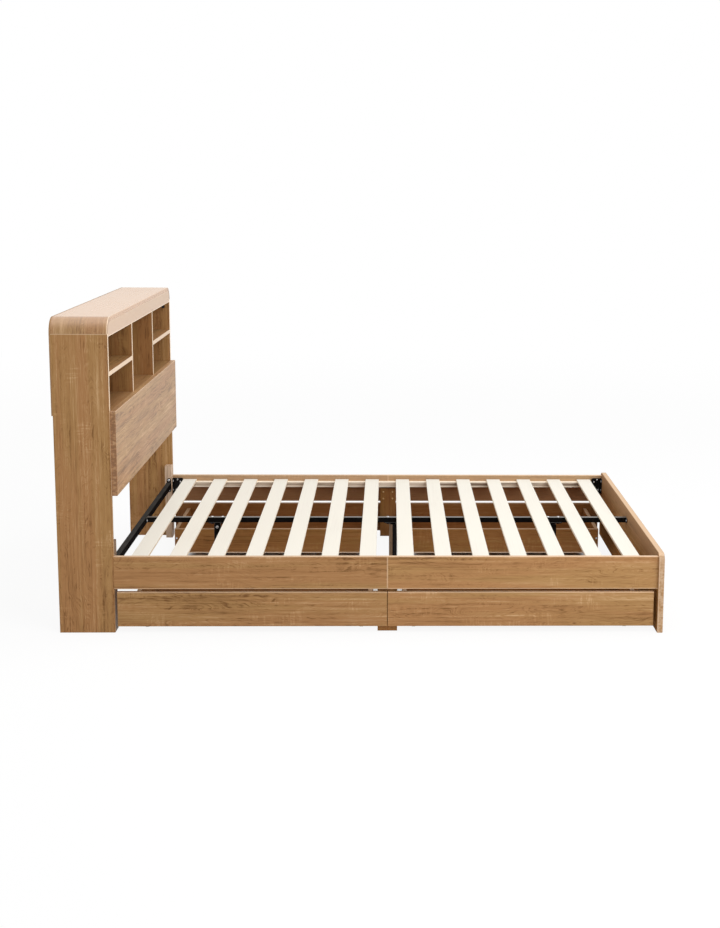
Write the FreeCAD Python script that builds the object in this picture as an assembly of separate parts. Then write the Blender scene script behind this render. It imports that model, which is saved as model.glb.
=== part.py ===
import FreeCAD, Part
import math
import os

# Storage bed frame with a bookcase headboard and four floor-rolling drawers.
# Frame: +X from the headboard to the foot end, +Z up, Y = 0 is the mirror plane.
# Origin: on the floor, in the middle of the length and width. All sizes are millimetres.
# Left is the -Y side and right is the +Y side, as seen from the foot end.

V = FreeCAD.Vector
X_DIR = V(1, 0, 0)
Y_DIR = V(0, 1, 0)
Z_DIR = V(0, 0, 1)

# Driving dimensions of the whole bed
bed_width = 1420.0
rail_length = 1930.0
rail_top_height = 277.0
headboard_height = 1120.0
headboard_depth = 195.0
footboard_thickness = 20.0
footboard_rise = 13.0
footboard_overhang = 12.0
back_panel_thickness = 5.0

# Board stock and small clearances
board = 16.0
overrun = 5.0
fit_gap = 0.3
edge_break = 1.2

# Small round pieces repeat many times, so they are turned with few flats
nut_sides = 6
bolt_sides = 8
wheel_sides = 16
head_sides = 12
flange_sides = 16
spigot_sides = 16

# Headboard
corner_radius = 55.0
header_height = 50.0
bookcase_height = 325.0
backrest_thickness = 20.0
backrest_height = 300.0
backrest_inset = 5.0
column_count = 3
cam_radius = 7.5
cam_depth = 12.0
cam_edge_distance = 32.0
cam_front_distance = 27.0

# Head posts and the tube between them
post_depth = 28.0
post_width = 45.0
post_rise = 49.0
crossbar_width = 20.0
crossbar_height = 25.0
crossbar_centre_drop = 10.5
tube_wall = 1.5
flange_length = 62.0
flange_width = 19.0
flange_thickness = 3.0
flange_bolt_spacing = 43.0

# Side rails, slat ledgers and the leg boards at the middle of each side
rail_thickness = 18.0
rail_height = 118.0
ledger_width = 25.0
ledger_height = 23.0
ledger_end_gap = 52.0
leg_board_width = 70.0
leg_board_thickness = 15.0
leg_board_drop = 57.0
leg_board_screw_spacing_x = 41.0
leg_board_screw_spacing_z = 31.0
leg_board_screw_rise = 29.5
leg_board_screw_length = 28.0

# Corner brackets
bracket_length = 46.0
bracket_height = 70.0
bracket_drop = 12.0
bracket_end_leaf = 14.0
bracket_steel = 2.5
bracket_cut = 18.0
bracket_corner_round = 4.0
bracket_upper_fixing = (21.0, 8.0)
bracket_outer_fixing = (34.0, 18.0)
bracket_lower_fixing = (15.0, 54.0)
bracket_leaf_drops = (14.0, 54.0)

# Slats
slat_count = 14
slat_width = 60.0
slat_thickness = 9.0
slat_drop = 17.0
first_slat_offset = 48.0
last_slat_offset = 54.0
slat_end_gap = 4.0

# Centre beam and its support legs
beam_width = 20.0
beam_height = 20.0
leg_slat_counts = (1, 6, 11)
leg_slat_offsets = (97.0, 122.0, 89.0)
leg_turns = (0.0, -135.0, 180.0)
leg_side = 25.0
leg_corner_round = 2.5
leg_bracket_length = 70.0
leg_bracket_width = 28.0
leg_bracket_plate = 3.0
leg_bracket_corner = 4.0
leg_bolt_spacing = 41.0
leg_clamp_drop = 16.0
leg_clamp_length = 18.0
spigot_length = 36.0
spigot_flare = 3.0
spigot_wall = 2.0
leg_foot_height = 6.0
leg_foot_side = 28.0
leg_plug_height = 12.0

# Footboard
footboard_corner_radius = 30.0

# Drawers
front_bottom_height = 22.0
front_top_gap = 11.0
front_end_gap = 9.0
front_foot_gap = 13.0
front_middle_gap = 2.0
drawer_depth = 405.0
box_overhang = 53.5
box_board = 15.0
box_top_drop = 23.0
box_bottom_thickness = 4.0
box_screw_radius = 4.0
box_screw_head = 1.2
box_screw_rises = (20.0, 60.0)

# Drawer castors
castor_inset_x = 40.0
castor_inset_y = 50.0
wheel_radius = 9.0
wheel_width = 11.0
pin_radius = 2.0
pin_clearance = 0.05
castor_clearance = 3.0
castor_steel = 1.2
castor_plate_x = 28.0
castor_plate_y = 34.0
castor_cheek_gap = 1.0
castor_cheek_y = 12.0
castor_cheek_bottom = 5.0
castor_nose = 3.5

# Fasteners
bolt_radius = 3.0
bolt_head_radius = 6.0
bolt_head_height = 3.2
bolt_crown_radius = 3.6
bolt_shoulder_height = 2.0
bolt_shoulder_radius = 5.2
bolt_length = 24.0
small_bolt_radius = 2.0
small_bolt_head_radius = 4.0
small_bolt_head_height = 2.2
small_bolt_crown_radius = 2.6
small_bolt_length = 12.0
nut_radius = 6.0
nut_height = 5.0

# Derived stations along X
overall_length = back_panel_thickness + headboard_depth + rail_length + footboard_thickness
rear_x = -overall_length / 2
side_rear_x = rear_x + back_panel_thickness
head_x = side_rear_x + headboard_depth
foot_x = head_x + rail_length
middle_x = head_x + rail_length / 2

# Derived stations along Y, measured from the mirror plane
outer_y = bed_width / 2
side_inner_y = outer_y - board
rail_inner_y = outer_y - rail_thickness
post_inner_y = side_inner_y - post_width

# Derived stations along Z
seam_z = headboard_height - corner_radius
top_under_z = headboard_height - board
header_bottom_z = top_under_z - header_height
compartment_floor_top = headboard_height - bookcase_height
floor_bottom_z = compartment_floor_top - board
rail_bottom_z = rail_top_height - rail_height
footboard_height = rail_top_height + footboard_rise
post_height = rail_top_height + post_rise
bracket_top_height = rail_top_height - bracket_drop
slat_top_height = rail_top_height - slat_drop
slat_under_z = slat_top_height - slat_thickness
crossbar_centre_height = slat_under_z - crossbar_centre_drop
corner_inner_radius = corner_radius - board


def block(x, y, z):
    """A box from three (low, high) pairs, given in either order."""
    low = V(min(x), min(y), min(z))
    return Part.makeBox(abs(x[1] - x[0]), abs(y[1] - y[0]), abs(z[1] - z[0]), low)


def around(centre, width):
    """The (low, high) pair of a width about its centre."""
    return (centre - width / 2, centre + width / 2)


def prism(points, direction):
    """A straight extrusion of a closed outline of points."""
    outline = Part.makePolygon(points + [points[0]])
    return Part.Face(outline).extrude(direction)


def save(name, *solids):
    """Write one node; several separate solids go in as a compound."""
    shape = solids[0] if len(solids) == 1 else Part.makeCompound(list(solids))
    shape.exportStep("parts/%s.step" % name)


def mirrored_y(shape):
    return shape.mirror(V(0, 0, 0), Y_DIR)


def side_sign(side):
    return -1 if side == "left" else 1


def eased(solid, wanted, width=edge_break):
    """Break the edges that the test picks, as an edge-banding trimmer does."""
    return solid.makeChamfer(width, [edge for edge in solid.Edges if wanted(edge)])


def rounded(solid, wanted, radius):
    return solid.makeFillet(radius, [edge for edge in solid.Edges if wanted(edge)])


def ring_points(radius, height, sides):
    """Corners of a regular ring about Z, with one corner on +X."""
    angles = [2 * math.pi * i / sides for i in range(sides)]
    return [V(radius * math.cos(a), radius * math.sin(a), height) for a in angles]


def turned(profile, sides, hollow=False):
    """A turned piece with flats: (radius, height) stations up its outside, and back down its bore."""
    rings = [ring_points(radius, height, sides) for radius, height in profile]
    faces = []
    for lower, upper in zip(rings, rings[1:] + rings[:1] if hollow else rings[1:]):
        for i in range(sides):
            j = (i + 1) % sides
            corners = [lower[i], lower[j], upper[j], upper[i], lower[i]]
            faces.append(Part.Face(Part.makePolygon(corners)))
    if not hollow:
        faces += [Part.Face(Part.makePolygon(ring + ring[:1])) for ring in (rings[0], rings[-1])]
    solid = Part.Solid(Part.makeShell(faces))
    if solid.Volume < 0:
        solid.reverse()
    return solid


def set_on(solid, seat, outward):
    """Move a piece made about Z so that its Z = 0 plane lies on a seat, facing outward."""
    solid.Placement = FreeCAD.Placement(seat, FreeCAD.Rotation(Z_DIR, outward))
    return solid


def bar(seat, outward, radius, below, above, sides):
    """A round bar through a seat, from below it to above it along the outward direction."""
    return set_on(turned([(radius, -below), (radius, above)], sides), seat, outward)


def on_plane(axis, value):
    """A test for edges that lie wholly in the plane axis = value."""
    def test(edge):
        box = edge.BoundBox
        low, high = {"x": (box.XMin, box.XMax), "y": (box.YMin, box.YMax), "z": (box.ZMin, box.ZMax)}[axis]
        return abs(low - value) < fit_gap and abs(high - value) < fit_gap
    return test


def where_planes_meet(first, second):
    """A test for the edges along which two (axis, value) planes meet."""
    def test(edge):
        return on_plane(*first)(edge) and on_plane(*second)(edge)
    return test


# Fasteners: domed bolts, flush screws and hexagon nuts, each placed on a face.
# Every hole that a bolt passes comes from the same point, direction and radius.

def screw(seat, outward, shank, head, sides, length):
    """A screw whose head of (radius, height) stations sits on the seat."""
    body = turned([(shank, -length), (shank, 0)], bolt_sides).fuse(turned(head, sides))
    return set_on(body.removeSplitter(), seat, outward)


def main_bolt(seat, outward, length=bolt_length):
    head = [(bolt_head_radius, 0), (bolt_shoulder_radius, bolt_shoulder_height),
            (bolt_crown_radius, bolt_head_height)]
    return screw(seat, outward, bolt_radius, head, head_sides, length)


def small_bolt(seat, outward, length=small_bolt_length):
    head = [(small_bolt_head_radius, 0), (small_bolt_crown_radius, small_bolt_head_height)]
    return screw(seat, outward, small_bolt_radius, head, bolt_sides, length)


def main_hole(seat, outward, length=bolt_length):
    return bar(seat, outward, bolt_radius, length, overrun, bolt_sides)


def small_hole(seat, outward, length=small_bolt_length):
    return bar(seat, outward, small_bolt_radius, length, overrun, bolt_sides)


def hexagon_nut(seat, outward):
    """A nut that sits on the seat, round the bolt that comes through it."""
    nut = turned([(nut_radius, 0), (nut_radius, nut_height)], nut_sides)
    return set_on(nut.cut(turned([(bolt_radius, -overrun), (bolt_radius, nut_height + overrun)], bolt_sides)),
                  seat, outward)


# Headboard shell: two straight side boards, two bent corner boards with a true
# quarter-round outside and inside, and the flat top between them.

def cam_places_on_side(sign):
    """Centres of the cam discs let into a side board's inner face, under the corner seam."""
    z = seam_z - cam_edge_distance
    return [V(x, sign * side_inner_y, z)
            for x in (head_x - cam_front_distance, side_rear_x + cam_front_distance)]


def cam_disc(centre, outward):
    """A cast cam disc, flush with the board that it sits in."""
    return bar(centre, outward, cam_radius, cam_depth, 0, head_sides)


def cam_pocket(centre, outward):
    return bar(centre, outward, cam_radius, cam_depth, overrun, head_sides)


def headboard_side(side):
    sign = side_sign(side)
    panel = block((side_rear_x, head_x), (sign * side_inner_y, sign * outer_y), (0, seam_z))
    for centre in cam_places_on_side(sign):
        panel = panel.cut(cam_pocket(centre, Y_DIR * -sign))
    return eased(panel, where_planes_meet(("x", head_x), ("y", sign * outer_y)))


def quarter_round(sign, radius):
    """The filled quarter round of a headboard corner, for the whole depth."""
    centre_y = outer_y - corner_radius
    disc = Part.makeCylinder(radius, headboard_depth, V(side_rear_x, sign * centre_y, seam_z), X_DIR)
    return disc.common(block((side_rear_x, head_x), (sign * centre_y, sign * (outer_y + overrun)),
                             (seam_z, headboard_height + overrun)))


def headboard_corner(side):
    sign = side_sign(side)
    bend = quarter_round(sign, corner_radius).cut(quarter_round(sign, corner_inner_radius))
    return eased(bend, lambda edge: on_plane("x", head_x)(edge)
                 and abs(edge.BoundBox.ZLength - corner_radius) < fit_gap
                 and abs(edge.BoundBox.YLength - corner_radius) < fit_gap)


def headboard_top():
    half = outer_y - corner_radius
    panel = block((side_rear_x, head_x), (-half, half), (top_under_z, headboard_height))
    return eased(panel, where_planes_meet(("x", head_x), ("z", headboard_height)))


def inside_of_shell(x):
    """The space inside the bent shell, above the header's lower edge, between two X stations."""
    straight = outer_y - corner_radius
    body = block(x, (-side_inner_y, side_inner_y), (header_bottom_z, seam_z))
    body = body.fuse(block(x, (-straight, straight), (header_bottom_z, top_under_z)))
    for sign in (-1, 1):
        body = body.fuse(quarter_round(sign, corner_inner_radius).common(
            block(x, (0, sign * outer_y), (seam_z, headboard_height))))
    return body.removeSplitter()


def headboard_header():
    return inside_of_shell((head_x - board, head_x))


# Bookcase: floor, two dividers and two half-height shelves in three equal columns.

clear_column = (2 * side_inner_y - (column_count - 1) * board) / column_count
divider_centre_y = clear_column / 2 + board / 2
divider_outer_y = divider_centre_y + board / 2


def cam_places_under(y_ends, z):
    """Cam discs under a level board, a front and a rear one at each given end (edge, inward way)."""
    return [V(x, edge + way * cam_edge_distance, z) for edge, way in y_ends
            for x in (head_x - cam_front_distance, side_rear_x + cam_front_distance)]


def level_board(y_pair, z_pair, cams):
    """A level board for the full depth, with cam pockets in its underside."""
    panel = block((side_rear_x, head_x), y_pair, z_pair)
    for centre in cams:
        panel = panel.cut(cam_pocket(centre, Z_DIR * -1))
    return panel


floor_z = (floor_bottom_z, compartment_floor_top)
shelf_z = around((compartment_floor_top + header_bottom_z) / 2, board)


def floor_cams():
    return cam_places_under([(-side_inner_y, 1), (side_inner_y, -1)], floor_z[0])


def headboard_floor():
    return level_board((-side_inner_y, side_inner_y), floor_z, floor_cams())


def shelf_cams(side):
    sign = side_sign(side)
    return cam_places_under([(sign * side_inner_y, -sign)], shelf_z[0])


def headboard_shelf(side):
    sign = side_sign(side)
    return level_board((sign * divider_outer_y, sign * side_inner_y), shelf_z, shelf_cams(side))


def divider(side):
    """A divider notched at its top front corner round the header."""
    centre = side_sign(side) * divider_centre_y
    panel = block((side_rear_x, head_x), around(centre, board), (compartment_floor_top, top_under_z))
    notch = block((head_x - board, head_x + overrun), around(centre, board + 2 * overrun),
                  (header_bottom_z, top_under_z + overrun))
    return panel.cut(notch)


def headboard_back_panel():
    """Thin back that follows the bent shell's outline and ends at the bookcase floor."""
    x = (rear_x, side_rear_x)
    sheet = block(x, (-outer_y, outer_y), (floor_bottom_z, headboard_height))
    return rounded(sheet, lambda edge: edge.BoundBox.XLength > fit_gap
                   and edge.BoundBox.ZMin > seam_z, corner_radius)


def cam_discs():
    discs = []
    for sign in (-1, 1):
        discs += [cam_disc(c, Y_DIR * -sign) for c in cam_places_on_side(sign)]
    for centre in floor_cams() + shelf_cams("left") + shelf_cams("right"):
        discs.append(cam_disc(centre, Z_DIR * -1))
    return discs


def backrest_board():
    """The wide board that the pillows lean on, standing on the side boards' front edges."""
    half = outer_y - backrest_inset
    panel = block((head_x, head_x + backrest_thickness), (-half, half),
                  (compartment_floor_top - backrest_height, compartment_floor_top))
    return eased(panel, on_plane("x", head_x + backrest_thickness))


# Head posts with the steel tube between them, held by round-ended flange plates.

crossbar_x = (head_x - crossbar_width, head_x)
crossbar_centre_x = head_x - crossbar_width / 2


def flange_bolt_seats(sign):
    """Bolt seats on the inner face of a crossbar flange."""
    y = sign * (post_inner_y - flange_thickness)
    return [V(crossbar_centre_x, y, crossbar_centre_height + k * flange_bolt_spacing / 2) for k in (-1, 1)]


def head_post(side):
    sign = side_sign(side)
    post = block((head_x - post_depth, head_x), (sign * post_inner_y, sign * side_inner_y), (0, post_height))
    for seat in flange_bolt_seats(sign):
        post = post.cut(main_hole(seat, Y_DIR * -sign))
    for seat in bracket_seats(side, "head")[1]:
        post = post.cut(small_hole(seat, X_DIR))
    return eased(post, where_planes_meet(("x", head_x), ("y", sign * post_inner_y)))


def round_ended_plate(centre, long_way, width, length, thickness, normal):
    """A plate with round ends; centre lies on its back face and normal points off it."""
    across = normal.cross(long_way)
    outline = []
    for way in (-1, 1):
        middle = centre + long_way * (way * (length - width) / 2)
        for i in range(flange_sides // 2 + 1):
            angle = 2 * math.pi * i / flange_sides
            outline.append(middle + across * (-way * width / 2 * math.cos(angle))
                           + long_way * (way * width / 2 * math.sin(angle)))
    return prism(outline, normal * thickness)


def tube(x, y, z, hollow_axis):
    """A square tube along X or Y with open ends."""
    pairs = {"x": x, "y": y, "z": z}
    inner = {}
    for axis, pair in pairs.items():
        grow = overrun if axis == hollow_axis else -tube_wall
        inner[axis] = (min(pair) - grow, max(pair) + grow)
    return block(x, y, z).cut(block(inner["x"], inner["y"], inner["z"]))


def head_crossbar():
    reach = post_inner_y - flange_thickness
    crossbar = tube(crossbar_x, (-reach, reach), around(crossbar_centre_height, crossbar_height), "y")
    for sign in (-1, 1):
        flange = round_ended_plate(V(crossbar_centre_x, sign * post_inner_y, crossbar_centre_height), Z_DIR,
                                   flange_width, flange_length, flange_thickness, Y_DIR * -sign)
        for seat in flange_bolt_seats(sign):
            flange = flange.cut(main_hole(seat, Y_DIR * -sign))
        crossbar = crossbar.fuse(flange)
    for seat in beam_flange_seats("head"):
        crossbar = crossbar.cut(small_hole(seat, X_DIR))
    return crossbar.removeSplitter()


# Side rails in two halves, the ledgers that carry the slats, and the leg board
# that ties the two halves together at the middle of each side.

def bracket_seats(side, end):
    """Fixing seats of a corner bracket: those on its rail leaf and those on its end leaf."""
    sign = side_sign(side)
    corner_x, way = (head_x, 1) if end == "head" else (foot_x, -1)
    y = sign * (rail_inner_y - bracket_steel)
    rail_seats = [V(corner_x + way * along, y, bracket_top_height - drop) for along, drop in
                  (bracket_upper_fixing, bracket_outer_fixing, bracket_lower_fixing)]
    leaf_y = sign * (rail_inner_y - (bracket_end_leaf + bracket_steel) / 2)
    leaf_seats = [V(corner_x + way * bracket_steel, leaf_y, bracket_top_height - drop)
                  for drop in bracket_leaf_drops]
    return rail_seats, leaf_seats


def side_rail(side, end):
    """One half of a side rail, drilled for its bracket and its leg board."""
    sign = side_sign(side)
    x = (head_x, middle_x) if end == "head" else (middle_x, foot_x)
    rail = block(x, (sign * rail_inner_y, sign * outer_y), (rail_bottom_z, rail_top_height))
    for seat in bracket_seats(side, end)[0]:
        rail = rail.cut(small_hole(seat, Y_DIR * -sign))
    for seat in leg_board_screw_seats(sign):
        rail = rail.cut(leg_board_hole(seat, sign))
    for y, z in ((rail_inner_y, rail_top_height), (outer_y, rail_top_height), (outer_y, rail_bottom_z)):
        rail = eased(rail, where_planes_meet(("y", sign * y), ("z", z)))
    return rail


def slat_ledgers():
    """Four battens, one on each rail half, that stop short of the corner brackets."""
    ledgers = []
    z = (slat_under_z - ledger_height, slat_under_z)
    for sign in (-1, 1):
        y = (sign * rail_inner_y, sign * (rail_inner_y - ledger_width))
        ledgers.append(block((head_x + ledger_end_gap, middle_x), y, z))
        ledgers.append(block((middle_x, foot_x - ledger_end_gap), y, z))
    return ledgers


def leg_board_screw_seats(sign):
    y = sign * (rail_inner_y - leg_board_thickness)
    return [V(middle_x + i * leg_board_screw_spacing_x / 2, y,
              rail_bottom_z + leg_board_screw_rise + k * leg_board_screw_spacing_z / 2)
            for i in (-1, 1) for k in (-1, 1)]


def leg_board_hole(seat, sign):
    return small_hole(seat, Y_DIR * -sign, leg_board_screw_length)


def leg_board(side):
    """The short upright that stands on the floor behind the rail joint."""
    sign = side_sign(side)
    y = (sign * rail_inner_y, sign * (rail_inner_y - leg_board_thickness))
    upright = block(around(middle_x, leg_board_width), y, (0, rail_top_height - leg_board_drop))
    for seat in leg_board_screw_seats(sign):
        upright = upright.cut(leg_board_hole(seat, sign))
    return upright


def corner_bracket(side, end):
    """A folded steel angle: a long leaf on the rail and a narrow one on the end board."""
    sign = side_sign(side)
    corner_x, way = (head_x, 1) if end == "head" else (foot_x, -1)
    z = (bracket_top_height - bracket_height, bracket_top_height)
    y_face = sign * rail_inner_y
    far_x = corner_x + way * bracket_length
    outline = [V(corner_x, y_face, z[0]), V(corner_x, y_face, z[1]), V(far_x, y_face, z[1]),
               V(far_x, y_face, z[0] + bracket_cut), V(far_x - way * bracket_cut, y_face, z[0])]
    rail_leaf = prism(outline, V(0, -sign * bracket_steel, 0))
    top_corner = [e for e in rail_leaf.Edges if e.BoundBox.YLength > fit_gap
                  and abs(e.BoundBox.Center.x - far_x) < fit_gap and abs(e.BoundBox.Center.z - z[1]) < fit_gap]
    rail_leaf = rail_leaf.makeChamfer(bracket_corner_round, top_corner)
    end_leaf = block((corner_x, corner_x + way * bracket_steel),
                     (y_face, y_face - sign * bracket_end_leaf), z)
    angle = rail_leaf.fuse(end_leaf).removeSplitter()
    rail_seats, leaf_seats = bracket_seats(side, end)
    for seat in rail_seats:
        angle = angle.cut(small_hole(seat, Y_DIR * -sign))
    for seat in leaf_seats:
        angle = angle.cut(small_hole(seat, X_DIR * way))
    return angle


def all_corners():
    return [(side, end) for side in ("left", "right") for end in ("head", "foot")]


# Footboard: a wide board standing on the floor, proud of the rails, with rounded top corners.

def footboard():
    half = outer_y + footboard_overhang
    panel = block((foot_x, foot_x + footboard_thickness), (-half, half), (0, footboard_height))
    panel = rounded(panel, lambda edge: edge.BoundBox.XLength > fit_gap
                    and edge.BoundBox.ZMin > rail_top_height, footboard_corner_radius)
    for side in ("left", "right"):
        for seat in bracket_seats(side, "foot")[1]:
            panel = panel.cut(small_hole(seat, X_DIR * -1))
    for seat in beam_flange_seats("foot"):
        panel = panel.cut(small_hole(seat, X_DIR * -1))
    panel = eased(panel, on_plane("x", foot_x + footboard_thickness))
    return eased(panel, lambda edge: on_plane("x", foot_x)(edge) and edge.BoundBox.ZMax > rail_top_height)


# Centre beam: two square tubes that meet over the middle leg, each with a
# round-ended flange at its outer end.

beam_z = (slat_under_z - beam_height, slat_under_z)
beam_centre_z = slat_under_z - beam_height / 2
slat_pitch = (rail_length - first_slat_offset - last_slat_offset - slat_width) / (slat_count - 1)
slat_starts = [head_x + first_slat_offset + i * slat_pitch for i in range(slat_count)]
leg_stations = [slat_starts[i] + offset for i, offset in zip(leg_slat_counts, leg_slat_offsets)]
beam_joint_x = leg_stations[1]


def beam_flange_seats(end):
    """Bolt seats on the free face of a beam flange."""
    x = head_x + flange_thickness if end == "head" else foot_x - flange_thickness
    return [V(x, k * flange_bolt_spacing / 2, beam_centre_z) for k in (-1, 1)]


def leg_bolt_seats(station):
    return [V(station + k * leg_bolt_spacing / 2, 0, slat_under_z) for k in (-1, 1)]


def beam_half(end):
    x = (head_x, beam_joint_x) if end == "head" else (beam_joint_x, foot_x)
    face_x, way = (head_x, 1) if end == "head" else (foot_x, -1)
    beam = tube(x, around(0, beam_width), beam_z, "x")
    flange = round_ended_plate(V(face_x, 0, beam_centre_z), Y_DIR, flange_width, flange_length,
                               flange_thickness, X_DIR * way)
    for seat in beam_flange_seats(end):
        flange = flange.cut(small_hole(seat, X_DIR * way))
    beam = beam.fuse(flange)
    for station in leg_stations:
        for seat in leg_bolt_seats(station):
            if min(x) < seat.x < max(x):
                beam = beam.cut(main_hole(seat, Z_DIR, beam_height + overrun))
    return beam.removeSplitter()


# Support legs: a plate under the beam with a round tube spigot that flares into
# it, and a square tube leg pushed over the spigot. A leg can be turned about the
# spigot before its clamp bolt is tightened; the middle one stands at 45 degrees.

plate_under_z = beam_z[0] - leg_bracket_plate
leg_top_z = plate_under_z - nut_height - fit_gap
leg_clamp_z = plate_under_z - leg_clamp_drop
leg_bore_side = leg_side - 2 * tube_wall
spigot_radius = leg_bore_side / 2 - fit_gap


def leg_clamp_bolt(station, turn):
    """Seat and direction of the bolt that clamps a leg to its spigot."""
    angle = math.radians(turn)
    outward = V(math.sin(angle), -math.cos(angle), 0)
    return V(station, 0, leg_clamp_z) + outward * (leg_side / 2), outward


def square_post(station, turn, side, z, corner):
    """A turned upright of square section with rounded corners."""
    post = block(around(station, side), around(0, side), z)
    post = eased(post, lambda edge: edge.BoundBox.ZLength > fit_gap, corner)
    post.rotate(V(station, 0, 0), Z_DIR, turn)
    return post


def leg_bracket(station, turn):
    plate = block(around(station, leg_bracket_length), around(0, leg_bracket_width),
                  (plate_under_z, beam_z[0]))
    plate = eased(plate, lambda edge: edge.BoundBox.ZLength > fit_gap, leg_bracket_corner)
    bore = spigot_radius - spigot_wall
    spigot = turned([(spigot_radius, -spigot_length), (spigot_radius, -spigot_flare),
                     (spigot_radius + spigot_flare, 0), (bore, 0), (bore, -spigot_length)],
                    spigot_sides, hollow=True)
    bracket = plate.fuse(set_on(spigot, V(station, 0, plate_under_z), Z_DIR))
    for seat in leg_bolt_seats(station):
        bracket = bracket.cut(main_hole(seat, Z_DIR, beam_height + leg_bracket_plate + overrun))
    seat, outward = leg_clamp_bolt(station, turn)
    return bracket.cut(main_hole(seat, outward, leg_clamp_length)).removeSplitter()


def support_leg(station, turn):
    z = (leg_foot_height, leg_top_z)
    leg = square_post(station, turn, leg_side, z, leg_corner_round)
    bore_z = (z[0] - overrun, z[1] + overrun)
    leg = leg.cut(square_post(station, turn, leg_bore_side, bore_z, leg_corner_round - tube_wall))
    seat, outward = leg_clamp_bolt(station, turn)
    return leg.cut(main_hole(seat, outward, leg_clamp_length))


def leg_foot(station, turn):
    """A plastic cap under the leg with a plug that goes up inside the tube."""
    cap = square_post(station, turn, leg_foot_side, (0, leg_foot_height), leg_corner_round)
    plug = square_post(station, turn, leg_bore_side, (0, leg_plug_height), leg_corner_round - tube_wall)
    return cap.fuse(plug).removeSplitter()


# Slats: plain softwood laths at one pitch, resting on the ledgers and the beam.
# A slat that lies over the head of a leg bolt is drilled out from below for it.

def bed_slats():
    half = rail_inner_y - slat_end_gap
    slats = []
    reach = bolt_head_radius + fit_gap
    for start in slat_starts:
        lath = block((start, start + slat_width), (-half, half), (slat_under_z, slat_top_height))
        lath = eased(lath, lambda edge: edge.BoundBox.YLength > half
                     and edge.BoundBox.ZMin > slat_top_height - fit_gap)
        for seat in [s for station in leg_stations for s in leg_bolt_seats(station)]:
            if start - reach < seat.x < start + slat_width + reach:
                lath = lath.cut(bar(seat, Z_DIR, reach, overrun, bolt_head_height + fit_gap, head_sides))
        slats.append(lath)
    return slats


# All exposed steel bolts of the frame.

def frame_fasteners():
    items = []
    for sign in (-1, 1):
        items += [main_bolt(s, Y_DIR * -sign) for s in flange_bolt_seats(sign)]
        items += [small_bolt(s, Y_DIR * -sign, leg_board_screw_length) for s in leg_board_screw_seats(sign)]
    for side, end in all_corners():
        inward = Y_DIR * -side_sign(side)
        rail_seats, leaf_seats = bracket_seats(side, end)
        items += [small_bolt(s, inward) for s in rail_seats]
        items += [small_bolt(s, X_DIR * (1 if end == "head" else -1)) for s in leaf_seats]
    for end, way in (("head", 1), ("foot", -1)):
        items += [small_bolt(s, X_DIR * way) for s in beam_flange_seats(end)]
    through = beam_height + leg_bracket_plate + nut_height
    for station, turn in zip(leg_stations, leg_turns):
        for seat in leg_bolt_seats(station):
            items.append(main_bolt(seat, Z_DIR, through))
            items.append(hexagon_nut(V(seat.x, 0, plate_under_z), Z_DIR * -1))
        seat, outward = leg_clamp_bolt(station, turn)
        items.append(main_bolt(seat, outward, leg_clamp_length))
    return items


# Drawers: a laminated front, a box of four boards with the back over the ends of
# the sides, a thin bottom under them, and four low castors. Each is built in its
# own place, from the outer face inward; the sign of Y picks the side of the bed.

def front_x(end):
    if end == "head":
        return (head_x + front_end_gap, middle_x - front_middle_gap / 2)
    return (middle_x + front_middle_gap / 2, foot_x - front_foot_gap)


def box_x(end):
    low, high = front_x(end)
    return (low + box_overhang, high - box_overhang)


front_z = (front_bottom_height, rail_bottom_z - front_top_gap)
box_bottom_height = 2 * wheel_radius + castor_clearance
castor_half = wheel_width / 2 + castor_cheek_gap + castor_steel
box_z = (box_bottom_height + box_bottom_thickness, front_z[1] - box_top_drop)
box_back_y = outer_y - drawer_depth
front_back_y = outer_y - board


def drawer_front(side, end):
    sign = side_sign(side)
    panel = block(front_x(end), (sign * front_back_y, sign * outer_y), front_z)
    return eased(panel, on_plane("y", sign * outer_y))


def drawer_sides(side, end):
    sign = side_sign(side)
    low, high = box_x(end)
    y = (sign * (box_back_y + box_board), sign * front_back_y)
    return [block((low, low + box_board), y, box_z), block((high - box_board, high), y, box_z)]


def drawer_back(side, end):
    sign = side_sign(side)
    return block(box_x(end), (sign * box_back_y, sign * (box_back_y + box_board)), box_z)


def drawer_bottom(side, end):
    sign = side_sign(side)
    return block(box_x(end), (sign * box_back_y, sign * front_back_y),
                 (box_bottom_height, box_bottom_height + box_bottom_thickness))


def castor_y(sign, row):
    if row == "front":
        return sign * (front_back_y - castor_inset_y)
    return sign * (box_back_y + castor_inset_y)


def castor_x(end):
    low, high = box_x(end)
    return (low + castor_inset_x, high - castor_inset_x)


def castor_bracket(x, y):
    """A pressed channel: a plate under the drawer and two cheeks with cut noses."""
    body = block(around(x, castor_plate_x), around(y, castor_plate_y),
                 (box_bottom_height - castor_steel, box_bottom_height))
    inner = wheel_width / 2 + castor_cheek_gap
    for way in (-1, 1):
        cheek_x = (x + way * inner, x + way * (inner + castor_steel))
        cheek = block(cheek_x, around(y, castor_cheek_y), (castor_cheek_bottom, box_bottom_height))
        cheek = eased(cheek, lambda edge: edge.BoundBox.XLength > fit_gap
                      and edge.BoundBox.ZMax < wheel_radius, castor_nose)
        body = body.fuse(cheek)
    return body.cut(castor_pin(x, y)).removeSplitter()


def castor_pin(x, y):
    """The axle, riveted flush with the outside of both cheeks."""
    return bar(V(x, y, wheel_radius), X_DIR, pin_radius, castor_half, castor_half, bolt_sides)


def castor_wheel(x, y):
    """A moulded wheel with a running bore, one corner of its tread on the floor."""
    half = wheel_width / 2
    bore = pin_radius + pin_clearance
    wheel = turned([(wheel_radius, -half), (wheel_radius, half), (bore, half), (bore, -half)],
                   wheel_sides, hollow=True)
    return set_on(wheel, V(x, y, wheel_radius), X_DIR)


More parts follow.
